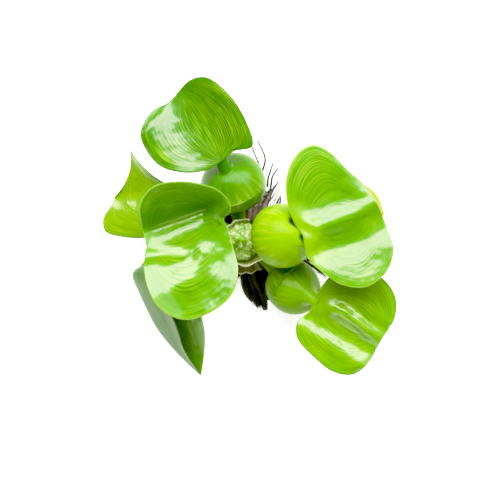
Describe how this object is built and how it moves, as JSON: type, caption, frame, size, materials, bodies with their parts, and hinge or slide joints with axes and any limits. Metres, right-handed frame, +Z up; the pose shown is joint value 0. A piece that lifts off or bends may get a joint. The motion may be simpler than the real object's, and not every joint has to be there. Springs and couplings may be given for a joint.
{
  "type": "water hyacinth plant",
  "caption": "Small floating water hyacinth with glossy rounded leaves on ball-shaped floats, a short crown with papery sheaths and a mat of dark roots it rests on.",
  "frame": {"origin": "on the surface it rests on, under the middle of the crown", "axes": "+Z up; +Y towards the leaf that reaches furthest back, which is the top of the picture; +X to the right of it"},
  "size_m": [0.1517, 0.1532, 0.0698],
  "materials": {
    "blade": "glossy, slightly see-through leaf skin with fine curved veins and a thin paler rim",
    "old_blade": "yellowed leaf skin with fine curved veins and brown flecks at the rim",
    "float": "taut satin skin over spongy tissue, finely streaked along its length",
    "old_float": "dull yellow-green skin over spongy tissue",
    "crown": "pale crinkled moist plant tissue",
    "young_leaf": "soft rolled leaf, satin",
    "sheath": "thin see-through papery membrane with veins and a brown frayed rim",
    "root": "wet matted feathery fibres, black to dark brown",
    "strand": "thin grey-brown fibre"
  },
  "bodies": {
    "root": {"blade_upper_left": "blade", "petiole_upper_left": "float", "blade_centre_left": "blade", "petiole_centre_left": "float", "blade_left": "blade", "petiole_left": "float", "blade_lower_left": "blade", "petiole_lower_left": "float", "blade_right": "blade", "petiole_right": "float", "blade_lower_right": "blade", "petiole_lower_right": "float", "blade_old_right": "old_blade", "petiole_old_right": "old_float", "crown": "crown", "young_leaf": "young_leaf", "sheath_front_upper": "sheath", "sheath_front_lower": "sheath", "sheath_back": "sheath", "roots": "root", "root_strand_1": "strand", "root_strand_2": "strand", "root_strand_3": "strand", "root_strand_4": "strand"}
  },
  "joints": []
}
